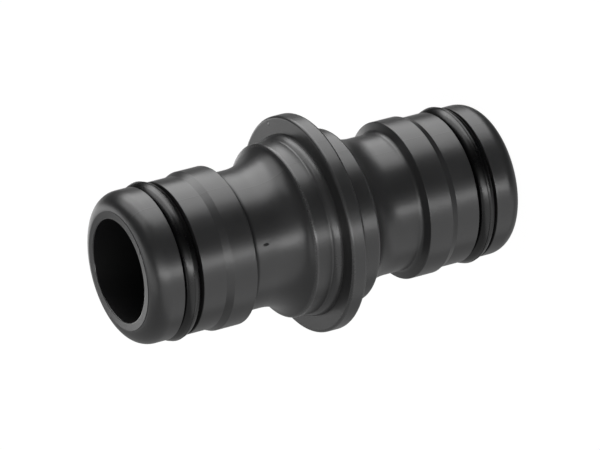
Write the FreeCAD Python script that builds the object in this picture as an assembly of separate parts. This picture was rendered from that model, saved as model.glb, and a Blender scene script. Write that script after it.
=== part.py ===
import FreeCAD, Part
import math
import os

# Hose mender for click-on garden hose connectors: one moulded tube with the same spigot at each end and
# a finger flange between them, and a rubber ring in the groove of each spigot. It stands on its lower end.
# The origin is the middle of that end's face, +Z runs along the bore, and all sizes are in millimetres.

Vector = FreeCAD.Vector

# Whole length from one end face to the other, and the bore through it
overall_length = 45.1
bore_diameter = 11.2
mouth_round = 0.12

# Flange that the fingers push against, with a low ring on both of its faces that slopes down to the shoulder
flange_diameter = 23.7
flange_thickness = 1.8
flange_round = 0.3
step_ring_diameter = 19.9
step_ring_thickness = 0.6
step_ring_slope_length = 0.45
shoulder_foot_round = 0.3

# Shoulder beside the flange, and the waist between it and the collar: a flare and then a straight neck
shoulder_diameter = 19.0
shoulder_length = 1.9
shoulder_round = 0.3
flare_angle = 65.0
neck_diameter = 15.1
neck_share_of_waist = 0.4

# Collar, which the claws of a hose connector snap in behind
latch_face_length = 0.4
latch_foot_round = 0.45
collar_diameter = 17.3
collar_length = 2.75
collar_round = 0.12
ramp_length = 0.8

# Plain lands on both sides of the seal groove, and the rounded nose
land_diameter = 16.6
guide_land_length = 2.7
nose_land_length = 1.5
nose_length = 1.9
land_round = 0.08

# Fine raised lip around the bore's mouth, where the halves of the mould's core met the cavity
lip_diameter = 12.9
lip_height = 0.05

# Rubber ring and the groove that holds it
seal_section = 2.0
seal_clearance = 0.05
seal_side_play = 0.2
groove_depth = 1.75
flash_width = 0.12
flash_height = 0.04

# The largest part of a straight run that the round at one of its ends may take
round_share = 0.45
# Finish of a corner that is swept in one curve from the corner before it to the corner after
SWEPT = "swept"
SHARP = 0.0

# Heights above the middle plane of the flange: the flange and its shoulder from that plane outwards
half_length = overall_length / 2
flange_face = flange_thickness / 2
step_ring_face = flange_face + step_ring_thickness
shoulder_foot = step_ring_face + step_ring_slope_length
shoulder_edge = shoulder_foot + shoulder_length

# The spigot from its end face inwards, because that is how a connector meets it
groove_diameter = land_diameter - 2 * groove_depth
groove_width = seal_section + seal_clearance + seal_side_play
nose_end = half_length - lip_height
nose_start = nose_end - nose_length
groove_end = nose_start - nose_land_length
groove_start = groove_end - groove_width
guide_land_start = groove_start - guide_land_length
collar_end = guide_land_start - ramp_length
collar_start = collar_end - collar_length
latch_foot = collar_start - latch_face_length

# The waist takes up the length that is left between the shoulder and the collar. The flare leaves the
# shoulder at its angle to the bore, and the line it leaves along meets the neck's line at the flare's corner.
waist_length = latch_foot - shoulder_edge
flare_end = latch_foot - waist_length * neck_share_of_waist
flare_corner = shoulder_edge + (shoulder_diameter - neck_diameter) / 2 / math.tan(math.radians(flare_angle))


def spigot_corners():
    """Corners of one spigot's section as diameter, height above the middle plane, and finish."""
    return [
        (flange_diameter, flange_face, flange_round),
        (step_ring_diameter, flange_face, SHARP),
        (step_ring_diameter, step_ring_face, SWEPT),
        (shoulder_diameter, shoulder_foot, shoulder_foot_round),
        (shoulder_diameter, shoulder_edge, shoulder_round),
        (neck_diameter, flare_corner, SWEPT),
        (neck_diameter, flare_end, SHARP),
        (neck_diameter, latch_foot, latch_foot_round),
        (collar_diameter, collar_start, collar_round),
        (collar_diameter, collar_end, collar_round),
        (land_diameter, guide_land_start, collar_round),
        (land_diameter, groove_start, land_round),
        (groove_diameter, groove_start, SHARP),
        (groove_diameter, groove_end, SHARP),
        (land_diameter, groove_end, land_round),
        (land_diameter, nose_start, SHARP),
        (land_diameter, nose_end, SWEPT),
        (lip_diameter, nose_end, SHARP),
        (lip_diameter, half_length, SHARP),
        (bore_diameter, half_length, mouth_round),
    ]


def blunted(before, corner, after, radius):
    """Start, middle and end of the arc that rounds a corner, kept within the runs beside it."""
    back = before - corner
    ahead = after - corner
    half_angle = back.getAngle(ahead) / 2
    reach = min(radius / math.tan(half_angle), back.Length * round_share, ahead.Length * round_share)
    start = corner + back.normalize() * reach
    end = corner + ahead.normalize() * reach
    chord_middle = (start + end) / 2
    to_middle = chord_middle - corner
    arc_radius = reach * math.tan(half_angle)
    centre_distance = arc_radius / math.sin(half_angle)
    middle = corner + to_middle.normalize() * (centre_distance - arc_radius)
    return start, middle, end


def swept_curve(start, corner, end):
    """Arc of a circle or an ellipse from start to end, tangent to both runs that meet at the corner."""
    curve = Part.BezierCurve()
    curve.setPoles([start, corner, end])
    curve.setWeight(2, math.cos((corner - start).getAngle(end - corner) / 2))
    return curve.toShape()


def section_face(corners):
    """Flat face in the XZ plane, from corners given as diameter, height and finish in order round it."""
    points = [Vector(diameter / 2, 0, height) for diameter, height, finish in corners]
    finishes = [finish for diameter, height, finish in corners]
    count = len(points)
    arcs = []
    for i in range(count):
        if finishes[i] in (SWEPT, SHARP):
            arcs.append((points[i], None, points[i]))
        else:
            arcs.append(blunted(points[i - 1], points[i], points[(i + 1) % count], finishes[i]))
    edges = []
    for i in range(count):
        start, middle, end = arcs[i]
        following = arcs[(i + 1) % count]
        if finishes[i] == SWEPT:
            edges.append(swept_curve(arcs[i - 1][2], points[i], following[0]))
            continue
        if middle is not None:
            edges.append(Part.Arc(start, middle, end).toShape())
        if finishes[(i + 1) % count] != SWEPT:
            edges.append(Part.LineSegment(end, following[0]).toShape())
    return Part.Face(Part.Wire(edges))


def turned(face):
    """Solid made by turning a section about the Z axis."""
    return face.revolve(Vector(0, 0, 0), Vector(0, 0, 1), 360)


def mender_body():
    """Both spigots and the flange as one moulding, with the bore through it."""
    upper = [(diameter, half_length + height, finish) for diameter, height, finish in spigot_corners()]
    lower = [(diameter, half_length - height, finish) for diameter, height, finish in spigot_corners()]
    return turned(section_face(upper + lower[::-1]))


def o_ring(side):
    """Rubber ring on the groove's floor, against the groove's nose side; side is 1 above and -1 below."""
    section_radius = seal_section / 2
    centre_radius = groove_diameter / 2 + seal_clearance + section_radius
    height = half_length + side * (groove_end - seal_clearance - section_radius)
    flash_edge = math.sqrt(section_radius**2 - (flash_width / 2) ** 2)
    top = Vector(centre_radius + flash_edge, 0, height + flash_width / 2)
    bottom = Vector(centre_radius + flash_edge, 0, height - flash_width / 2)
    crest = Vector(centre_radius + section_radius + flash_height, 0, height)
    inner = Vector(centre_radius - section_radius, 0, height)
    edges = [
        Part.Arc(top, inner, bottom).toShape(),
        Part.Arc(bottom, crest, top).toShape(),
    ]
    return turned(Part.Face(Part.Wire(edges)))


nodes = {
    "mender_body": mender_body(),
    "upper_o_ring": o_ring(1),
    "lower_o_ring": o_ring(-1),
}

os.makedirs("parts", exist_ok=True)
for name, shape in nodes.items():
    shape.exportStep(f"parts/{name}.step")
    print(name, shape.isValid(), round(shape.Volume, 2), "mm3")
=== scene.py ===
import math

import bpy
from bpy.props import FloatProperty, FloatVectorProperty, IntProperty, PointerProperty
from bpy.types import Operator, Panel, PropertyGroup
from mathutils import Matrix, Quaternion, Vector


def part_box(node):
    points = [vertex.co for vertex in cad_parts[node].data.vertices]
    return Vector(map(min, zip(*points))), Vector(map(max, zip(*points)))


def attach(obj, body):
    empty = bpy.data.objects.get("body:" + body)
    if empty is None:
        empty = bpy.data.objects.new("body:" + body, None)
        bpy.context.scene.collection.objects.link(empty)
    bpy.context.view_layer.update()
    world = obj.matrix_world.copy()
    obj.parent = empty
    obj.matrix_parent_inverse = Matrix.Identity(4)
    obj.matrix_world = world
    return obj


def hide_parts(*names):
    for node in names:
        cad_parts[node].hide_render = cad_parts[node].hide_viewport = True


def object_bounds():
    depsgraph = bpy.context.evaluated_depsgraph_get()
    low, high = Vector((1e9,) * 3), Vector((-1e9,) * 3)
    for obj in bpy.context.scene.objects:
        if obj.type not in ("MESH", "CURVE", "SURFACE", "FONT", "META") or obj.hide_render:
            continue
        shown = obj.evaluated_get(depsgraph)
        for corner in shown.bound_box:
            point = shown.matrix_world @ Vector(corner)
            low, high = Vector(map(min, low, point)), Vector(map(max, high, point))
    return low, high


bl_info = {
    "name": "Hose mender",
    "version": (1, 0, 0),
    "blender": (4, 5, 0),
    "location": "View3D > Sidebar > Hose mender",
    "description": "Straight hose mender with a click-on spigot and a rubber ring at both ends",
    "category": "Object",
}

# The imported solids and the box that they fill. The mender stands on its lower end, with +Z along the bore.
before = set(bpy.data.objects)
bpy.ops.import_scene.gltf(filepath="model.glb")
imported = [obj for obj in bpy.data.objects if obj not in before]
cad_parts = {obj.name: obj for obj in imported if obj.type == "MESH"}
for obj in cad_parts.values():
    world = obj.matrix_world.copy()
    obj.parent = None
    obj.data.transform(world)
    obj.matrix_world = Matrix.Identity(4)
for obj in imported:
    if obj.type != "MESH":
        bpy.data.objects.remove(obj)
solid_low, solid_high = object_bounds()
ring_low, ring_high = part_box("upper_o_ring")
upper_ring_height = (ring_low.z + ring_high.z) / 2

# All lengths are in metres.
# Finish of a corner of the section: swept in one curve between the corners beside it, or left sharp
SWEPT = "swept"
SHARP = 0.0
# The largest part of a straight run that the round at one of its ends may take
ROUND_SHARE = 0.45
# How far from each end of a straight run it is divided, so that its shading stays flat
SUPPORT = 0.00004
# Number of faces across a ring's flash line
FLASH_STEPS = 6
# Place of the latch face's foot in the list of a spigot's corners
LATCH_FOOT = 7
# Points of a turned piece nearer together than this are one, and edges that bend more than this look sharp
MERGE_DISTANCE = 1e-6
CREASE_ANGLE = math.radians(32.0)

# Attribute of the finished meshes that is 0 except on the edges that handling burnishes, up to 1 there;
# it makes them smoother, and paler both from wear and as a painted highlight
WEAR_AND_HIGHLIGHT_ATTRIBUTE = "wear_and_highlight"
RIM_WEAR_AND_HIGHLIGHT = 0.5
STEP_RING_WEAR_AND_HIGHLIGHT = 0.3
SHOULDER_WEAR_AND_HIGHLIGHT = 0.8
MOUTH_WEAR_AND_HIGHLIGHT = 1.0
# How much smoother an edge is where that attribute is full
WORN_POLISH = 0.08

# Noises of the plastic and the rubber: the size of their patches and their detail
MOTTLE = (0.0055, 4.0)
PEEL = (0.0011, 2.0)
STREAK = (0.0012, 3.0)
GRAIN = (0.00016, 2.0)
BLOOM = (0.0016, 4.0)
RUBBER_GRAIN = (0.00012, 2.0)
# The streaks are drawn out along the bore
STREAK_SHAPE = (1.0, 1.0, 0.12)
# Where in the noise the plastic's paler patches and the rubber's bloom begin, and where they are full
MOTTLE_FADE = (0.3, 0.7)
BLOOM_FADE = (0.35, 0.75)
# How far each noise stands up
PEEL_HEIGHT = 2.5e-6
STREAK_HEIGHT = 1.5e-6
GRAIN_HEIGHT = 1.0e-6
BLOOM_HEIGHT = 0.7e-6
RUBBER_GRAIN_HEIGHT = 0.3e-6
# How much each noise changes the roughness
MOTTLE_ROUGHENS = 0.10
GRAIN_ROUGHENS = 0.08
STREAK_ROUGHENS = 0.08
BLOOM_ROUGHENS = 0.08
# How much paler than the rubber its bloom is
BLOOM_PALENESS = 1.6
PLASTIC_IOR = 1.5
RUBBER_IOR = 1.46

# The mould's parting line: its direction round the bore, half its width and its height
PARTING_DIRECTION = math.radians(-48.2)
PARTING_HALF_WIDTH = 0.00009
PARTING_HEIGHT = 8.0e-6
# How steeply the mouth's flat ring dishes towards the bore
DISH_SLOPE = 0.1
# Depth of the edge over which the painted shade on the bore's wall begins
BORE_SHADE_EDGE = 0.00006
# Painted shade line at the upper latch face's foot: how far its middle is below the foot, the distances from
# there over which it fades out, and how far inside the collar it stops
LATCH_SHADE_DROP = 0.0001
LATCH_SHADE_FADE = (0.0002, 0.0005)
LATCH_SHADE_INSET = 0.0004
# The fine hollow along the middle of the lower ring: the distances over which it fades out, and its depth
HOLLOW_FADE = (0.00005, 0.00016)
HOLLOW_DEPTH = 30e-6
# Small marks on the plastic, the gate mark on the upper neck, a pip on the flange and a nick at the mouth:
# direction round the bore in degrees, radius, height, half sizes across, radial and along, the share of
# them at which the edge starts to fade, the way that it leans, how steeply, and how pale it is.
# The pip's paleness is stress whitening and a painted highlight.
MARKS = (
    (-99.2, 0.00755, 0.03122, (0.0002, 0.0006, 0.0004), 0.7, (0.95, 0.1, -0.3), -0.28, 0.0),
    (2.6, 0.01123, 0.02335, (0.00028, 0.00028, 0.0004), 0.3, (0.92, 0.385, 0.0), -0.26, 1.0),
    (-78.6, 0.0063, 0.0451, (0.0004, 0.0002, 0.0004), 0.6, (0.0, 1.0, 0.0), 0.4, 0.0),
)

# How much of the floor is a white glow to the camera, so that only a soft shadow shows, and its strength
GLOW_SHARE = 0.94
GLOW_STRENGTH = 1.04
# Middle of the pale sweep, as seen from the mender, and the cosines over which its edge fades
SWEEP_DIRECTION = Vector((-0.834, 0.533, -0.143))
SWEEP_EDGE = (0.03, 0.19)
# Softboxes round the mender: name, direction round the bore and above the horizon, roll, and half of
# the width and height that each takes up as seen from the mender, all in degrees, and its brightness
SOFTBOXES = (
    ("side softbox", -0.7, -13.4, 4.4, 33.4, 22.7, 4.05),
    ("side softbox top", 1.3, 22.6, 1.1, 30.2, 18.9, 2.54),
    ("front strip", -110.3, 8.3, -1.1, 4.0, 45.2, 10.4),
    ("top fill", 116.2, 75.8, 37.7, 33.5, 10.5, 1.53),
    ("low fill", -140.1, -6.0, -29.3, 32.9, 53.4, 0.68),
    ("end panel", 80.5, 13.0, 1.5, 8.0, 24.0, 1.45),
)
# The camera: the direction from what it aims at back to it, its roll, and the point that it aims at
CAMERA_BACK = Vector((0.000168, -0.893481, 0.449100)).normalized()
CAMERA_ROLL = math.radians(-104.574)
CAMERA_AIM = Vector((-0.000115, 0.000211, 0.022970))
SENSOR_WIDTH = 36.0


def length(name, description, default):
    """A size in metres, shown in the scene's own unit."""
    return FloatProperty(
        name=name, description=description, default=default, min=0.0, precision=5,
        subtype="DISTANCE", unit="LENGTH",
    )


def share(name, description, default):
    """A number from 0 to 1."""
    return FloatProperty(
        name=name, description=description, default=default, min=0.0, max=1.0, precision=3,
        subtype="FACTOR",
    )


def colour(name, description, default):
    """A colour as a material reads it."""
    return FloatVectorProperty(
        name=name, description=description, default=default, min=0.0, max=1.0, size=3, subtype="COLOR",
    )


def number_of_faces(name, description, default, least):
    """How finely a mesh is divided."""
    return IntProperty(name=name, description=description, default=default, min=least)


class MenderSizes(PropertyGroup):
    """Sizes of the moulded body, the same ones that its solid is made from."""

    overall_length: length("Overall length", "From one end face to the other", solid_high.z - solid_low.z)
    bore_diameter: length("Bore", "Diameter of the waterway", 0.0112)
    mouth_round: length("Mouth round", "Radius of the round where the bore meets the end face", 0.00012)
    flange_diameter: length("Flange", "Diameter of the flange", 0.0237)
    flange_thickness: length("Flange thickness", "Thickness of the flange's rim", 0.0018)
    flange_round: length("Flange round", "Radius of the round at both edges of the rim", 0.0003)
    step_ring_diameter: length("Step ring", "Diameter of the step on each face of the flange", 0.0199)
    step_ring_thickness: length("Step ring thickness", "Length of the step's rim along the bore", 0.0006)
    step_ring_slope: length("Step ring slope", "Length of the cone from its rim to the shoulder", 0.00045)
    step_ring_root: length("Step ring root", "Radius of the hollow at the shoulder's foot", 0.0003)
    shoulder_diameter: length("Shoulder", "Diameter of the shoulder beside the step", 0.019)
    shoulder_length: length("Shoulder length", "Length of the shoulder along the bore", 0.0019)
    shoulder_round: length("Shoulder round", "Radius of the round at the shoulder's edge", 0.0003)
    neck_diameter: length("Neck", "Diameter of the narrow neck", 0.0151)
    flare_angle: FloatProperty(
        name="Flare angle", description="Angle between the bore and the flare where it meets the shoulder",
        default=math.radians(65.0), min=math.radians(20.0), max=math.radians(90.0),
        subtype="ANGLE", unit="ROTATION",
    )
    neck_share: share("Neck share", "Part of the waist that is straight neck, and not flare", 0.4)
    latch_face_length: length("Latch face length", "Length of the cone that the claws snap behind", 0.0004)
    latch_foot_round: length("Latch foot round", "Radius of the round at the latch face's foot", 0.00045)
    collar_diameter: length("Collar", "Diameter of the collar that the claws hold", 0.0173)
    collar_length: length("Collar length", "Length of the collar along the bore", 0.00275)
    collar_round: length("Collar round", "Radius of the rounds at the collar's edges", 0.00012)
    ramp_length: length("Ramp length", "Length of the cone that spreads the claws", 0.0008)
    land_diameter: length("Land", "Diameter of the plain lands beside the seal's groove", 0.0166)
    guide_land_length: length("Guide land length", "Length of the land between ramp and groove", 0.0027)
    nose_land_length: length("Nose land length", "Length of the land between groove and nose", 0.0015)
    nose_length: length("Nose length", "Length of the rounded nose", 0.0019)
    land_round: length("Land round", "Radius of the rounds at the groove's edges", 0.00008)
    lip_diameter: length("Lip", "Diameter of the fine raised lip around the mouth", 0.0129)
    lip_height: length("Lip height", "How far the lip stands off the nose", 0.00005)
    groove_depth: length("Groove depth", "Depth of the seal's groove below the land", 0.00175)
    groove_width: length("Groove width", "Width of the seal's groove along the bore", 0.00225)
    steps: number_of_faces("Steps", "Number of faces round the body", 300, 12)
    round_steps: number_of_faces("Round steps", "Number of faces across a round", 5, 2)
    sweep_steps: number_of_faces("Sweep steps", "Number of faces across a swept run", 20, 4)


class RingSizes(PropertyGroup):
    """Sizes of the two rubber rings."""

    section: length("Section", "Thickness of the rubber", 0.002)
    inner_diameter: length("Inner diameter", "Diameter of the hole in the ring", 0.0132)
    upper_height: length("Upper height", "Height of the upper ring's middle", upper_ring_height)
    flash_width: length("Flash width", "Width of the fine line that the mould left round the ring", 0.00012)
    flash_height: length("Flash height", "How far that line stands off the ring", 0.00004)
    steps: number_of_faces("Steps", "Number of faces round a ring", 288, 12)
    section_steps: number_of_faces("Section steps", "Number of faces round the section", 44, 8)


class MenderFinish(PropertyGroup):
    """Colours and gloss of the plastic and the rubber, with the painted shade in the bore and at the upper
    latch's foot.
    """

    plastic_colour: colour("Plastic", "Charcoal of the moulded body", (0.0132, 0.0132, 0.0135))
    plastic_pale: colour("Plastic mottle", "Paler charcoal of its patches", (0.0168, 0.0168, 0.0172))
    # Paler colour of the edges and the pip: partly wear and whitening, partly a painted highlight
    edge_wear_and_highlight_colour: colour("Plastic edges", "Paler charcoal of the edges that wear", (0.034, 0.034, 0.0345))
    # The bore's colour and its share of a matt shader are painted shade inside the bore, not a different
    # plastic
    painted_bore_shade_colour: colour("Bore", "Dark of the bore's wall", (0.0065, 0.0065, 0.0067))
    bore_painted_shade: share("Bore shade", "How much of its gloss the bore's wall loses", 0.13)
    # Share of a matt shader painted as shade on the neck at the upper latch's foot; the plastic there is no
    # different
    latch_painted_shade: share("Latch shade", "How much of its gloss the neck loses at the upper latch's foot", 0.6)
    plastic_roughness: share("Plastic roughness", "How far the satin surface spreads a reflection", 0.33)
    rubber_colour: colour("Rubber", "Black of the seals", (0.0005, 0.0005, 0.0006))
    rubber_roughness: share("Rubber roughness", "How far the rubber spreads a reflection", 0.28)


class StageSettings(PropertyGroup):
    """The floor, the lamps and the camera."""

    floor_colour: colour("Floor", "Colour of the pale floor", (0.9, 0.9, 0.9))
    floor_size: length("Floor size", "Length of the floor's sides", 6.0)
    lamp_distance: length("Lamp distance", "From the mender's middle to each lamp", 1.0)
    lamp_power: FloatProperty(name="Lamp power", description="Scales all the lamps", default=1.0, min=0.0)
    surround: share("Surround", "Grey that surrounds the mender where there is no lamp", 0.0015)
    sweep: share("Sweep", "Brightness of the pale sweep over half of the surround", 0.413)
    camera_distance: length("Camera distance", "From the camera to the mender's middle", 0.68875)
    lens: FloatProperty(
        name="Lens", description="Focal length on a 36 mm sensor", default=387.94, unit="CAMERA",
    )


class Wire:
    """A node's output that works in Python expressions, each of which adds its Math node."""

    def __init__(self, wiring, socket):
        self.wiring = wiring
        self.socket = socket

    def output(self, name):
        """Another output of the same node."""
        return Wire(self.wiring, self.socket.node.outputs[name])

    def maths(self, operation, *values):
        """One Math node on these values."""
        return self.wiring.node("ShaderNodeMath", {"operation": operation}, dict(enumerate(values)))

    def __add__(self, other):
        return self.maths("ADD", self, other)

    def __radd__(self, other):
        return self.maths("ADD", other, self)

    def __sub__(self, other):
        return self.maths("SUBTRACT", self, other)

    def __rsub__(self, other):
        return self.maths("SUBTRACT", other, self)

    def __mul__(self, other):
        return self.maths("MULTIPLY", self, other)

    def __rmul__(self, other):
        return self.maths("MULTIPLY", other, self)

    def __truediv__(self, other):
        return self.maths("DIVIDE", self, other)

    def __rtruediv__(self, other):
        return self.maths("DIVIDE", other, self)

    def __pow__(self, other):
        return self.maths("POWER", self, other)

    def __rpow__(self, other):
        return self.maths("POWER", other, self)

    def __mod__(self, other):
        return self.maths("MODULO", self, other)

    def __rmod__(self, other):
        return self.maths("MODULO", other, self)

    def __gt__(self, other):
        return self.maths("GREATER_THAN", self, other)

    def __lt__(self, other):
        return self.maths("LESS_THAN", self, other)

    def __abs__(self):
        return self.maths("ABSOLUTE", self)

    def floor(self):
        """The whole number below."""
        return self.maths("FLOOR", self)


class Wiring:
    """Adds nodes to one empty node tree."""

    def __init__(self, tree):
        self.tree = tree
        tree.nodes.clear()

    def node(self, kind, settings=None, sockets=None, output=0):
        """A node of a kind: its settings are set first, then the values or wires of its sockets."""
        made = self.tree.nodes.new(kind)
        for name, value in (settings or {}).items():
            setattr(made, name, value)
        for key, value in (sockets or {}).items():
            if isinstance(value, Wire):
                self.tree.links.new(value.socket, made.inputs[key])
            else:
                made.inputs[key].default_value = value
        return Wire(self, made.outputs[output]) if made.outputs else None


def corner_arc(before, corner, after, radius, steps):
    """Points of the arc that rounds a corner, kept within the runs beside it."""
    back = before - corner
    ahead = after - corner
    half_angle = back.angle(ahead) / 2
    reach = min(radius / math.tan(half_angle), back.length * ROUND_SHARE, ahead.length * ROUND_SHARE)
    arc_radius = reach * math.tan(half_angle)
    towards_centre = (back.normalized() + ahead.normalized()).normalized()
    centre = corner + towards_centre * arc_radius / math.sin(half_angle)
    first = corner + back.normalized() * reach - centre
    last = corner + ahead.normalized() * reach - centre
    turn = first.angle(last)
    points = []
    for i in range(steps + 1):
        part = i / steps
        mixed = first * math.sin((1 - part) * turn) + last * math.sin(part * turn)
        points.append(centre + mixed / math.sin(turn))
    return points


def swept_run(start, corner, end, steps):
    """Points of the arc of an ellipse from start to end that is tangent to both runs at the corner."""
    weight = math.cos((corner - start).angle(end - corner) / 2)
    points = []
    for i in range(1, steps):
        part = i / steps
        shares = ((1 - part) ** 2, 2 * weight * part * (1 - part), part ** 2)
        points.append((start * shares[0] + corner * shares[1] + end * shares[2]) / sum(shares))
    return points


def straight_run(start, end):
    """Points just inside both ends of a straight run, unless it is short."""
    run = end - start
    if run.length < 4 * SUPPORT:
        return []
    step = run.normalized() * SUPPORT
    return [start + step, end - step]


def spigot_corners(sizes):
    """Corners of one spigot's section: diameter, height above the middle plane, finish, and wear with
    painted highlight.
    """
    half_length = sizes.overall_length / 2
    flange_face = sizes.flange_thickness / 2
    step_ring_face = flange_face + sizes.step_ring_thickness
    shoulder_foot = step_ring_face + sizes.step_ring_slope
    shoulder_edge = shoulder_foot + sizes.shoulder_length
    nose_end = half_length - sizes.lip_height
    nose_start = nose_end - sizes.nose_length
    groove_end = nose_start - sizes.nose_land_length
    groove_start = groove_end - sizes.groove_width
    guide_land_start = groove_start - sizes.guide_land_length
    collar_end = guide_land_start - sizes.ramp_length
    collar_start = collar_end - sizes.collar_length
    latch_foot = collar_start - sizes.latch_face_length
    flare_end = latch_foot - (latch_foot - shoulder_edge) * sizes.neck_share
    flare_depth = (sizes.shoulder_diameter - sizes.neck_diameter) / 2
    flare_corner = shoulder_edge + flare_depth / math.tan(sizes.flare_angle)
    groove_diameter = sizes.land_diameter - 2 * sizes.groove_depth
    return [
        (sizes.flange_diameter, flange_face, sizes.flange_round, RIM_WEAR_AND_HIGHLIGHT),
        (sizes.step_ring_diameter, flange_face, SHARP, 0.0),
        (sizes.step_ring_diameter, step_ring_face, SWEPT, STEP_RING_WEAR_AND_HIGHLIGHT),
        (sizes.shoulder_diameter, shoulder_foot, sizes.step_ring_root, 0.0),
        (sizes.shoulder_diameter, shoulder_edge, sizes.shoulder_round, SHOULDER_WEAR_AND_HIGHLIGHT),
        (sizes.neck_diameter, flare_corner, SWEPT, 0.0),
        (sizes.neck_diameter, flare_end, SHARP, 0.0),
        (sizes.neck_diameter, latch_foot, sizes.latch_foot_round, 0.0),
        (sizes.collar_diameter, collar_start, sizes.collar_round, 0.0),
        (sizes.collar_diameter, collar_end, sizes.collar_round, 0.0),
        (sizes.land_diameter, guide_land_start, sizes.collar_round, 0.0),
        (sizes.land_diameter, groove_start, sizes.land_round, 0.0),
        (groove_diameter, groove_start, SHARP, 0.0),
        (groove_diameter, groove_end, SHARP, 0.0),
        (sizes.land_diameter, groove_end, sizes.land_round, 0.0),
        (sizes.land_diameter, nose_start, SHARP, 0.0),
        (sizes.land_diameter, nose_end, SWEPT, 0.0),
        (sizes.lip_diameter, nose_end, SHARP, 0.0),
        (sizes.lip_diameter, half_length, SHARP, 0.0),
        (sizes.bore_diameter, half_length, sizes.mouth_round, MOUTH_WEAR_AND_HIGHLIGHT),
    ]


def section_loop(corners, round_steps, sweep_steps):
    """Points round a closed section, from its corners in order, and each one's wear and painted highlight.
    """
    diameters, heights, finishes, wear = zip(*corners)
    places = [Vector((diameter / 2, height)) for diameter, height in zip(diameters, heights)]
    count = len(places)
    arcs = []
    for i in range(count):
        if finishes[i] in (SWEPT, SHARP):
            arcs.append([places[i]])
        else:
            after = places[(i + 1) % count]
            arcs.append(corner_arc(places[i - 1], places[i], after, finishes[i], round_steps))
    loop = []
    wear_and_highlight_points = []
    for i in range(count):
        following = (i + 1) % count
        if finishes[i] == SWEPT:
            rounded = swept_run(arcs[i - 1][-1], places[i], arcs[following][0], sweep_steps)
            straight = []
        else:
            rounded = arcs[i]
            runs_straight = finishes[following] != SWEPT
            straight = straight_run(arcs[i][-1], arcs[following][0]) if runs_straight else []
        loop += rounded + straight
        wear_and_highlight_points += [wear[i]] * len(rounded) + [0.0] * len(straight)
    return loop, wear_and_highlight_points


def body_section(sizes):
    """Points round the body's section, the upper spigot's corners and then the lower one's."""
    middle = solid_low.z + sizes.overall_length / 2
    corners = spigot_corners(sizes)
    upper = [(diameter, middle + height, finish, wear_and_highlight) for diameter, height, finish, wear_and_highlight in corners]
    lower = [(diameter, middle - height, finish, wear_and_highlight) for diameter, height, finish, wear_and_highlight in corners]
    return section_loop(upper + lower[::-1], sizes.round_steps, sizes.sweep_steps)


def ring_section(rings, height):
    """Points round a rubber ring's section, with the mould's fine flash line on its outside."""
    radius = rings.section / 2
    centre = Vector((rings.inner_diameter / 2 + radius, height))
    opening = math.asin(rings.flash_width / 2 / radius)
    loop = []
    for i in range(rings.section_steps + 1):
        turn = opening + (2 * math.pi - 2 * opening) * i / rings.section_steps
        loop.append(centre + Vector((math.cos(turn), math.sin(turn))) * radius)
    foot = radius * math.cos(opening)
    for i in range(1, FLASH_STEPS):
        turn = math.pi * i / FLASH_STEPS - math.pi / 2
        rise = (radius + rings.flash_height - foot) * math.cos(turn)
        loop.append(centre + Vector((foot + rise, rings.flash_width / 2 * math.sin(turn))))
    return loop, [0.0] * len(loop)


def turned_piece_tree():
    """Geometry Nodes that turn a section, given as points in order, about Z into a closed mesh."""
    found = bpy.data.node_groups.get("Turned piece")
    if found:
        return found
    tree = bpy.data.node_groups.new("Turned piece", "GeometryNodeTree")
    for name, kind in (
        ("Section", "NodeSocketGeometry"),
        ("Steps", "NodeSocketInt"),
        ("Sharp angle", "NodeSocketFloat"),
        ("Material", "NodeSocketMaterial"),
    ):
        tree.interface.new_socket(name, in_out="INPUT", socket_type=kind)
    tree.interface.new_socket("Piece", in_out="OUTPUT", socket_type="NodeSocketGeometry")
    wiring = Wiring(tree)
    section = wiring.node("NodeGroupInput", output="Section")
    steps = section.output("Steps")
    rows = wiring.node("GeometryNodeAttributeDomainSize", {"component": "MESH"}, {"Geometry": section})
    grid = wiring.node(
        "GeometryNodeMeshGrid", None, {"Vertices X": steps + 1, "Vertices Y": rows + 1}, "Mesh",
    )
    index = wiring.node("GeometryNodeInputIndex")
    # The small extras keep a whole number from being cut to the one below it
    column = (index / (rows + 1) + 1e-4).floor()
    row = (index - column * (rows + 1)) % rows + 0.5
    position = wiring.node("GeometryNodeInputPosition")
    wear_and_highlight = wiring.node("GeometryNodeInputNamedAttribute", {"data_type": "FLOAT"}, {0: WEAR_AND_HIGHLIGHT_ATTRIBUTE})
    sampled = {}
    for kind, value in (("FLOAT_VECTOR", position), ("FLOAT", wear_and_highlight)):
        sampled[kind] = wiring.node(
            "GeometryNodeSampleIndex",
            {"data_type": kind, "domain": "POINT"},
            {"Geometry": section, "Value": value, "Index": row},
        )
    turned = wiring.node(
        "ShaderNodeVectorRotate",
        {"rotation_type": "Z_AXIS"},
        {"Vector": sampled["FLOAT_VECTOR"], "Angle": column * (2 * math.pi) / steps},
    )
    placed = wiring.node("GeometryNodeSetPosition", None, {"Geometry": grid, "Position": turned})
    marked = wiring.node(
        "GeometryNodeStoreNamedAttribute",
        {"data_type": "FLOAT", "domain": "POINT"},
        {"Geometry": placed, "Name": WEAR_AND_HIGHLIGHT_ATTRIBUTE, "Value": sampled["FLOAT"]},
    )
    closed = wiring.node(
        "GeometryNodeMergeByDistance", None, {"Geometry": marked, "Distance": MERGE_DISTANCE},
    )
    smooth = wiring.node("GeometryNodeSetShadeSmooth", {"domain": "FACE"}, {0: closed})
    bend = wiring.node("GeometryNodeInputMeshEdgeAngle")
    creased = wiring.node(
        "GeometryNodeSetShadeSmooth",
        {"domain": "EDGE"},
        {0: smooth, "Selection": bend > section.output("Sharp angle"), "Shade Smooth": False},
    )
    real = wiring.node("GeometryNodeRealizeInstances", None, {0: creased})
    finished = wiring.node(
        "GeometryNodeSetMaterial", None, {"Geometry": real, "Material": section.output("Material")},
    )
    wiring.node("NodeGroupOutput", None, {"Piece": finished})
    return tree


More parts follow.
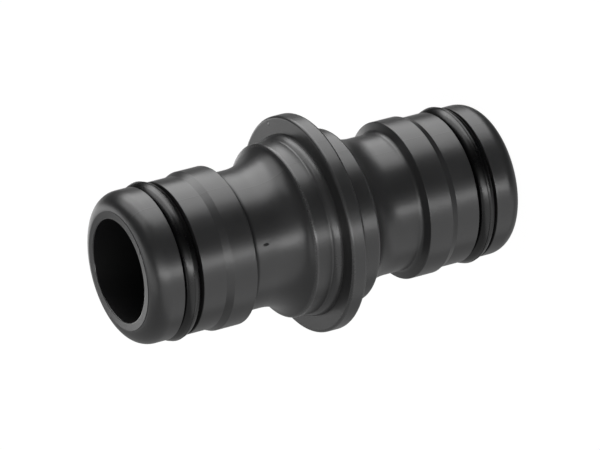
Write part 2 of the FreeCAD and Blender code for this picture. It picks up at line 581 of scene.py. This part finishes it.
def turned_piece(name, section, steps, material, slot_name, *stood_for):
    """Turns a section into a finished piece, which stands for the solids named and rides with them."""
    loop, wear_and_highlight_points = section
    count = len(loop)
    mesh = bpy.data.meshes.new(name)
    mesh.from_pydata(
        [(point.x, 0.0, point.y) for point in loop], [(i, (i + 1) % count) for i in range(count)], [],
    )
    mesh.attributes.new(WEAR_AND_HIGHLIGHT_ATTRIBUTE, "FLOAT", "POINT").data.foreach_set("value", wear_and_highlight_points)
    piece = bpy.data.objects.new(name, mesh)
    bpy.context.scene.collection.objects.link(piece)
    tree = turned_piece_tree()
    modifier = piece.modifiers.new("Turned", "NODES")
    modifier.node_group = tree
    values = {"Steps": steps, "Sharp angle": CREASE_ANGLE, "Material": material}
    for item in tree.interface.items_tree:
        if item.name in values:
            modifier[item.identifier] = values[item.name]
    depsgraph = bpy.context.evaluated_depsgraph_get()
    finished = bpy.data.meshes.new_from_object(piece.evaluated_get(depsgraph), depsgraph=depsgraph)
    piece.modifiers.clear()
    piece.data = finished
    bpy.data.meshes.remove(mesh)
    finished.name = name
    if not finished.polygons:
        raise RuntimeError(f"{name} came out with no faces")
    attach(piece, "root")
    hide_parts(*stood_for)


def new_material(name):
    """An empty material and the wiring of its tree."""
    material = bpy.data.materials.new(name)
    material.use_nodes = True
    return material, Wiring(material.node_tree)


def noise(wiring, point, size, detail):
    """Noise from 0 to 1 whose patches are about this size."""
    return wiring.node(
        "ShaderNodeTexNoise",
        {"noise_dimensions": "3D"},
        {"Vector": point, "Scale": 1 / size, "Detail": detail},
        "Fac",
    )


def fade(wiring, value, low, high, start=0.0, end=1.0):
    """Smooth change from start to end as the value goes from low to high."""
    return wiring.node(
        "ShaderNodeMapRange",
        {"interpolation_type": "SMOOTHSTEP", "clamp": True},
        {"Value": value, "From Min": low, "From Max": high, "To Min": start, "To Max": end},
    )


def vector_maths(wiring, operation, first, second, output="Vector"):
    """One Vector Math node on two vectors."""
    return wiring.node("ShaderNodeVectorMath", {"operation": operation}, {0: first, 1: second}, output)


def colour_mix(wiring, amount, first, second):
    """Goes from the first colour to the second as the amount goes from 0 to 1."""
    first_colour, second_colour, result = 6, 7, 2
    return wiring.node(
        "ShaderNodeMix",
        {"data_type": "RGBA"},
        {0: amount, first_colour: first, second_colour: (*second, 1)},
        result,
    )


def bumped(wiring, height):
    """Surface that stands up by this height."""
    return wiring.node("ShaderNodeBump", None, {"Strength": 1.0, "Distance": 1.0, "Height": height})


def leaning_mark(wiring, point, around, radius, level, half_sizes, edge, lean, slope):
    """Mask of a small oval mark on the body, and the height of its surface, which leans to one side."""
    turn = math.radians(around)
    radial = Vector((math.cos(turn), math.sin(turn), 0.0))
    across = Vector((-math.sin(turn), math.cos(turn), 0.0))
    upward = Vector((0.0, 0.0, 1.0))
    offset = vector_maths(wiring, "SUBTRACT", point, radial * radius + upward * level)
    squares = 0.0
    for axis, half_size in zip((across, radial, upward), half_sizes):
        part = vector_maths(wiring, "DOT_PRODUCT", offset, axis / half_size, "Value")
        squares = squares + part * part
    mask = fade(wiring, squares ** 0.5, edge, 1.0, 1.0, 0.0)
    leaning = vector_maths(wiring, "DOT_PRODUCT", offset, Vector(lean).normalized(), "Value")
    return mask, mask * leaning * slope


def charcoal_plastic(finish, sizes):
    """Satin charcoal plastic with mould grain, a parting line, small marks, edges paler from wear and a
    painted highlight, and painted shade in the bore and at the upper latch's foot.
    """
    material, wiring = new_material("Charcoal moulded plastic")
    point = wiring.node("ShaderNodeTexCoord", output="Object")
    x = wiring.node("ShaderNodeSeparateXYZ", None, {0: point})
    y = x.output("Y")
    radius = (x * x + y * y) ** 0.5
    wear_and_highlight = wiring.node("ShaderNodeAttribute", {"attribute_name": WEAR_AND_HIGHLIGHT_ATTRIBUTE}, None, "Fac")
    # Mask of the painted shade inside the bore
    wall = sizes.bore_diameter / 2
    bore = fade(wiring, radius, wall, wall + BORE_SHADE_EDGE, 1.0, 0.0)
    # Mask of the painted shade at the upper latch face's foot
    latch_shade_height = middle_of_mender().z + spigot_corners(sizes)[LATCH_FOOT][1] - LATCH_SHADE_DROP
    inside_collar = radius < sizes.collar_diameter / 2 - LATCH_SHADE_INSET
    latch = fade(wiring, abs(x.output("Z") - latch_shade_height), *LATCH_SHADE_FADE, 1.0, 0.0) * inside_collar
    mottle = noise(wiring, point, *MOTTLE)
    grain = noise(wiring, point, *GRAIN)
    peel = noise(wiring, point, *PEEL)
    streak = noise(wiring, vector_maths(wiring, "MULTIPLY", point, STREAK_SHAPE), *STREAK)
    from_parting = abs(x * math.sin(PARTING_DIRECTION) - y * math.cos(PARTING_DIRECTION))
    ridge = fade(wiring, from_parting, 0.0, PARTING_HALF_WIDTH, 1.0, 0.0)
    from_lip = radius - sizes.lip_diameter / 2
    dish = from_lip.maths("MINIMUM", from_lip, 0.0) * DISH_SLOPE
    height = peel * PEEL_HEIGHT + streak * STREAK_HEIGHT + grain * GRAIN_HEIGHT
    height = height + ridge * PARTING_HEIGHT + dish
    # Paler colour on the edges, from wear and as a painted highlight, and on the marks
    pale = wear_and_highlight
    for *place_and_shape, paleness in MARKS:
        mask, leaning = leaning_mark(wiring, point, *place_and_shape)
        pale = pale + mask * paleness
        height = height + leaning
    tint = (*finish.plastic_colour, 1)
    for amount, other in (
        (fade(wiring, mottle, *MOTTLE_FADE), finish.plastic_pale),
        (pale, finish.edge_wear_and_highlight_colour),
        (bore, finish.painted_bore_shade_colour),
    ):
        tint = colour_mix(wiring, amount, tint, other)
    roughness = (
        finish.plastic_roughness
        + (mottle - 0.5) * MOTTLE_ROUGHENS
        + (grain - 0.5) * GRAIN_ROUGHENS
        + (streak - 0.5) * STREAK_ROUGHENS
        - wear_and_highlight * WORN_POLISH
    )
    glossy = wiring.node(
        "ShaderNodeBsdfPrincipled",
        None,
        {"Base Color": tint, "Roughness": roughness, "IOR": PLASTIC_IOR, "Normal": bumped(wiring, height)},
    )
    # Matt shader mixed in as painted shade inside the bore and at the upper latch face's foot
    dark = wiring.node("ShaderNodeBsdfDiffuse", None, {"Color": (*finish.painted_bore_shade_colour, 1)})
    shade = bore * finish.bore_painted_shade + latch * finish.latch_painted_shade
    shaded = wiring.node("ShaderNodeMixShader", None, {0: shade, 1: glossy, 2: dark})
    wiring.node("ShaderNodeOutputMaterial", None, {"Surface": shaded})
    return material


def seal_rubber(finish, lower_height):
    """Black seal rubber, smoother than the plastic, with a bloom and a hollow round the lower ring."""
    material, wiring = new_material("Black seal rubber")
    point = wiring.node("ShaderNodeTexCoord", output="Object")
    bloom = noise(wiring, point, *BLOOM)
    grain = noise(wiring, point, *RUBBER_GRAIN)
    pale = [part * BLOOM_PALENESS for part in finish.rubber_colour]
    tint = colour_mix(wiring, fade(wiring, bloom, *BLOOM_FADE), (*finish.rubber_colour, 1), pale)
    from_middle = abs(wiring.node("ShaderNodeSeparateXYZ", None, {0: point}).output("Z") - lower_height)
    hollow = fade(wiring, from_middle, *HOLLOW_FADE, HOLLOW_DEPTH, 0.0)
    height = bloom * BLOOM_HEIGHT + grain * RUBBER_GRAIN_HEIGHT - hollow
    roughness = finish.rubber_roughness + (bloom - 0.5) * BLOOM_ROUGHENS
    shader = wiring.node(
        "ShaderNodeBsdfPrincipled",
        None,
        {"Base Color": tint, "Roughness": roughness, "IOR": RUBBER_IOR, "Normal": bumped(wiring, height)},
    )
    wiring.node("ShaderNodeOutputMaterial", None, {"Surface": shader})
    return material


def pale_floor(stage):
    """White to the camera, apart from the mender's soft shadow."""
    material, wiring = new_material("Pale floor")
    path = wiring.node("ShaderNodeLightPath", output="Is Camera Ray")
    seen = path.maths("MAXIMUM", path, path.output("Is Glossy Ray"))
    seen = path.maths("MAXIMUM", seen, path.output("Is Transmission Ray"))
    lit = wiring.node("ShaderNodeBsdfDiffuse", None, {"Color": (*stage.floor_colour, 1)})
    glow = wiring.node("ShaderNodeEmission", None, {"Color": (1, 1, 1, 1), "Strength": GLOW_STRENGTH})
    both = wiring.node("ShaderNodeMixShader", None, {0: seen * GLOW_SHARE, 1: lit, 2: glow})
    wiring.node("ShaderNodeOutputMaterial", None, {"Surface": both})
    return material


def add_world(stage):
    """White behind the floor for the camera; for the mender, dim with a pale sweep over one half."""
    world = bpy.data.worlds.new("Studio surround")
    bpy.context.scene.world = world
    world.use_nodes = True
    wiring = Wiring(world.node_tree)
    path = wiring.node("ShaderNodeLightPath", output="Is Camera Ray")
    outward = wiring.node("ShaderNodeTexCoord", output="Generated")
    towards_sweep = vector_maths(wiring, "DOT_PRODUCT", outward, SWEEP_DIRECTION, "Value")
    grey = fade(wiring, towards_sweep, *SWEEP_EDGE, stage.surround, stage.surround + stage.sweep)
    dim = wiring.node("ShaderNodeBackground", None, {"Color": (1, 1, 1, 1), "Strength": grey})
    white = wiring.node("ShaderNodeBackground", None, {"Color": (1, 1, 1, 1), "Strength": 1.0})
    both = wiring.node("ShaderNodeMixShader", None, {0: path, 1: dim, 2: white})
    wiring.node("ShaderNodeOutputWorld", None, {"Surface": both})


def add_floor(stage):
    """Large pale floor under the mender, which only the camera sees."""
    half = stage.floor_size / 2
    mesh = bpy.data.meshes.new("floor")
    corners = [(-half, -half), (half, -half), (half, half), (-half, half)]
    mesh.from_pydata([(x, y, solid_low.z) for x, y in corners], [], [(0, 1, 2, 3)])
    mesh.materials.append(pale_floor(stage))
    floor = bpy.data.objects.new("floor", mesh)
    bpy.context.scene.collection.objects.link(floor)
    floor.visible_diffuse = False
    floor.visible_glossy = False
    floor.visible_shadow = False


def middle_of_mender():
    """Middle of the mender's bore."""
    return (solid_low + solid_high) / 2


def add_softbox(stage, name, around, above, roll, half_width, half_height, brightness):
    """Area lamp that faces the mender's middle."""
    lamp = bpy.data.lights.new(name, "AREA")
    lamp.shape = "RECTANGLE"
    lamp.size = 2 * stage.lamp_distance * math.tan(math.radians(half_width))
    lamp.size_y = 2 * stage.lamp_distance * math.tan(math.radians(half_height))
    lamp.energy = brightness * stage.lamp_power * math.pi * lamp.size * lamp.size_y
    holder = bpy.data.objects.new(name, lamp)
    bpy.context.scene.collection.objects.link(holder)
    turn = math.radians(around)
    rise = math.radians(above)
    outward = Vector((math.cos(turn) * math.cos(rise), math.sin(turn) * math.cos(rise), math.sin(rise)))
    holder.rotation_mode = "QUATERNION"
    rolled = Quaternion((0, 0, 1), math.radians(roll))
    holder.rotation_quaternion = outward.to_track_quat("Z", "Y") @ rolled
    holder.location = middle_of_mender() + outward * stage.lamp_distance
    holder.visible_camera = False


def add_camera(stage):
    """Camera that looks down on the mender at 26.7 degrees and is rolled, so that the bore runs across."""
    data = bpy.data.cameras.new("camera")
    data.sensor_width = SENSOR_WIDTH
    data.lens = stage.lens
    data.clip_start = 0.01
    data.clip_end = 100.0
    camera = bpy.data.objects.new("camera", data)
    bpy.context.scene.collection.objects.link(camera)
    turn = CAMERA_BACK.to_track_quat("Z", "Y") @ Quaternion((0, 0, 1), CAMERA_ROLL)
    place = CAMERA_AIM + CAMERA_BACK * stage.camera_distance
    camera.matrix_world = Matrix.Translation(place) @ turn.to_matrix().to_4x4()
    bpy.context.scene.camera = camera


class HOSEMENDER_OT_body(Operator):
    """Make the moulded body, with its two spigots and its flange"""

    bl_idname = "hosemender.body"
    bl_label = "Make the body"
    bl_options = {"REGISTER", "UNDO"}

    def execute(self, context):
        sizes = context.scene.mender_sizes
        plastic = charcoal_plastic(context.scene.mender_finish, sizes)
        turned_piece("body", body_section(sizes), sizes.steps, plastic, "body_plastic", "mender_body")
        return {"FINISHED"}


class HOSEMENDER_OT_rings(Operator):
    """Make the rubber ring in each spigot's groove"""

    bl_idname = "hosemender.rings"
    bl_label = "Make the rubber rings"
    bl_options = {"REGISTER", "UNDO"}

    def execute(self, context):
        rings = context.scene.mender_rings
        lower_height = solid_low.z + solid_high.z - rings.upper_height
        rubber = seal_rubber(context.scene.mender_finish, lower_height)
        for name, height in (("upper_o_ring", rings.upper_height), ("lower_o_ring", lower_height)):
            section = ring_section(rings, height)
            turned_piece(f"{name}_seal", section, rings.steps, rubber, "seal_rubber", name)
        return {"FINISHED"}


class HOSEMENDER_OT_stage(Operator):
    """Make the pale floor, the soft lamps and the camera"""

    bl_idname = "hosemender.stage"
    bl_label = "Make the stage"
    bl_options = {"REGISTER", "UNDO"}

    def execute(self, context):
        stage = context.scene.mender_stage
        context.scene.view_settings.view_transform = "Standard"
        add_world(stage)
        add_floor(stage)
        for softbox in SOFTBOXES:
            add_softbox(stage, *softbox)
        add_camera(stage)
        return {"FINISHED"}


class HOSEMENDER_PT_panel(Panel):
    """Sizes, finishes and stage of the hose mender"""

    bl_idname = "HOSEMENDER_PT_panel"
    bl_label = "Hose mender"
    bl_space_type = "VIEW_3D"
    bl_region_type = "UI"
    bl_category = "Hose mender"

    def draw(self, context):
        for group, operator in (
            (context.scene.mender_sizes, "hosemender.body"),
            (context.scene.mender_rings, "hosemender.rings"),
            (context.scene.mender_finish, None),
            (context.scene.mender_stage, "hosemender.stage"),
        ):
            box = self.layout.box()
            for name in group.__annotations__:
                box.prop(group, name)
            if operator:
                box.operator(operator)


CLASSES = (
    MenderSizes,
    RingSizes,
    MenderFinish,
    StageSettings,
    HOSEMENDER_OT_body,
    HOSEMENDER_OT_rings,
    HOSEMENDER_OT_stage,
    HOSEMENDER_PT_panel,
)


def register():
    for made in CLASSES:
        bpy.utils.register_class(made)
    bpy.types.Scene.mender_sizes = PointerProperty(type=MenderSizes)
    bpy.types.Scene.mender_rings = PointerProperty(type=RingSizes)
    bpy.types.Scene.mender_finish = PointerProperty(type=MenderFinish)
    bpy.types.Scene.mender_stage = PointerProperty(type=StageSettings)


def unregister():
    del bpy.types.Scene.mender_stage
    del bpy.types.Scene.mender_finish
    del bpy.types.Scene.mender_rings
    del bpy.types.Scene.mender_sizes
    for made in reversed(CLASSES):
        bpy.utils.unregister_class(made)


def main():
    """Makes the whole scene."""
    register()
    bpy.ops.hosemender.body()
    bpy.ops.hosemender.rings()
    bpy.ops.hosemender.stage()


if __name__ == "__main__":
    main()
